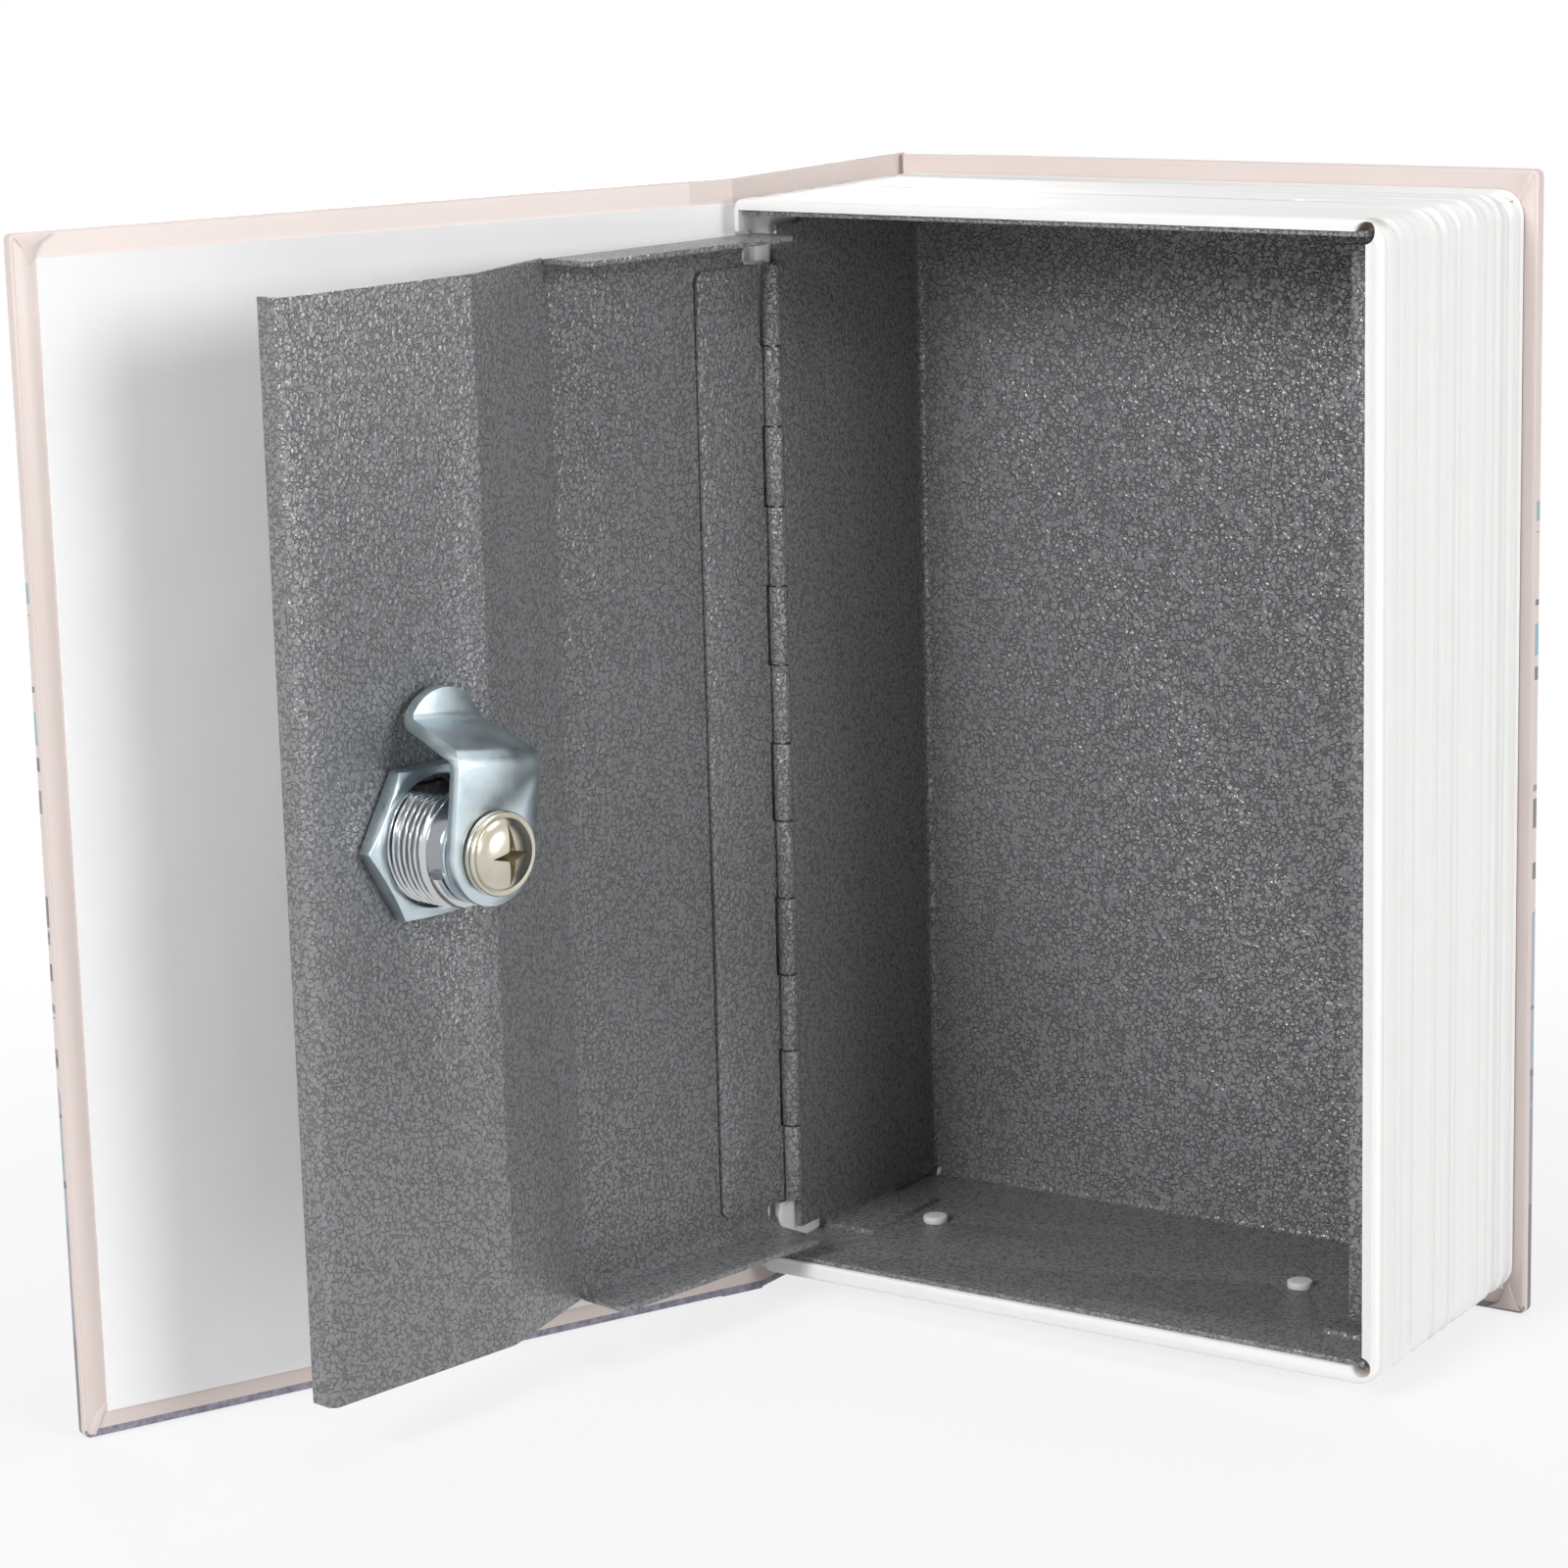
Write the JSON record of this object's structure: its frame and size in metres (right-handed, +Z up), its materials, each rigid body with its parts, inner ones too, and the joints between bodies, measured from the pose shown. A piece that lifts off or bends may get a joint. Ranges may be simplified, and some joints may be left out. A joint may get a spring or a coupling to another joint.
{
  "type": "book diversion safe",
  "caption": "Hardback book case round a moulded page block that hides a folded steel box with a piano-hinged steel door and a cam lock, standing open.",
  "frame": {"origin": "centre of the footprint of the open book, on the surface it stands on", "axes": "+Z up along the spine, -Y out of the mouth of the box, +X from the spine to the fore-edge of the back cover"},
  "size_m": [0.1652, 0.1582, 0.18],
  "materials": {
    "greyboard": "raw greyboard",
    "printed_paper": "satin-laminated printed paper, blush pink with slate and teal shapes",
    "endpaper": "plain white uncoated",
    "moulded_pages": "satin white moulding, ribbed like page edges",
    "powder_coat": "dark grey hammertone powder coat",
    "white_nylon": "natural white",
    "pin_steel": "drawn wire",
    "chrome": "bright",
    "bright_zinc": "bright zinc plate",
    "yellow_zinc": "yellow-passivated zinc on steel",
    "brass": "stamped",
    "spring_steel": "fine wire"
  },
  "bodies": {
    "case": {"back_board": "greyboard", "back_wrap": "printed_paper", "spine_board": "greyboard", "spine_wrap": "printed_paper", "rear_endpaper": "endpaper", "page_block": "moulded_pages", "box_shell": "powder_coat", "snap_rivet_1": "white_nylon", "snap_rivet_2": "white_nylon", "snap_rivet_3": "white_nylon", "snap_rivet_4": "white_nylon", "hinge_leaf_box": "powder_coat", "hinge_pin": "pin_steel"},
    "front_cover": {"front_board": "greyboard", "front_wrap": "printed_paper", "front_endpaper": "endpaper"},
    "door": {"door_panel": "powder_coat", "hinge_leaf_door": "powder_coat", "lock_body": "chrome", "lock_nut": "bright_zinc"},
    "lock_core": {"lock_plug": "chrome", "stop_washer": "bright_zinc", "cam": "bright_zinc", "spring_washer": "yellow_zinc", "cam_screw": "yellow_zinc", "wafer_1": "brass", "wafer_2": "brass", "wafer_3": "brass", "wafer_4": "brass", "wafer_5": "brass", "wafer_spring_1": "spring_steel", "wafer_spring_2": "spring_steel", "wafer_spring_3": "spring_steel", "wafer_spring_4": "spring_steel", "wafer_spring_5": "spring_steel"}
  },
  "joints": [
    {"name": "cover_hinge", "type": "hinge", "parent": "case", "child": "front_cover", "pos_m": [-0.03208, 0.02489, 0.09], "axis": [0, 0, -1], "range_deg": [-115, 5.4]},
    {"name": "door_hinge", "type": "hinge", "parent": "case", "child": "door", "pos_m": [-0.02598, 0.03199, 0.09], "axis": [0, 0, -1], "range_deg": [-100.6, 4.8]},
    {"name": "lock_turn", "type": "hinge", "parent": "door", "child": "lock_core", "pos_m": [-0.04092, -0.04782, 0.0913], "axis": [0.9829, -0.184, 0], "range_deg": [0, 97]}
  ],
  "couplings": [
    {"joint": "door_hinge", "follows": "cover_hinge", "ratio": 0.8747}
  ]
}
